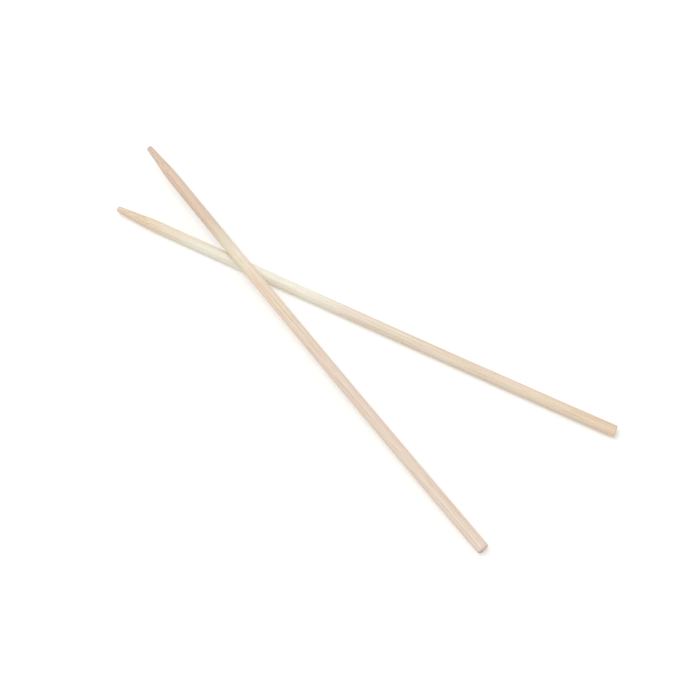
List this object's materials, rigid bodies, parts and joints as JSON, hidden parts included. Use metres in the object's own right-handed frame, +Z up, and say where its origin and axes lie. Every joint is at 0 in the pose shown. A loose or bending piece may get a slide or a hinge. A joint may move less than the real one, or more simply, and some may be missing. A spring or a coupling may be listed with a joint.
{
  "type": "bamboo chopsticks",
  "caption": "Round bamboo chopsticks lying crossed, with straight shanks, short tapered tips and sawn butts, for picking up food.",
  "frame": {"origin": "under the middle of the pair's box, at the level of the table that the pair lies on", "axes": "+X from the tip of the lower stick to its butt, +Z up from the table"},
  "size_m": [0.2322, 0.1024, 0.0111],
  "materials": {
    "cream_bamboo": "matte",
    "blush_bamboo": "matte"
  },
  "bodies": {
    "root": {"lower_chopstick": "cream_bamboo", "upper_chopstick": "blush_bamboo"}
  },
  "joints": []
}
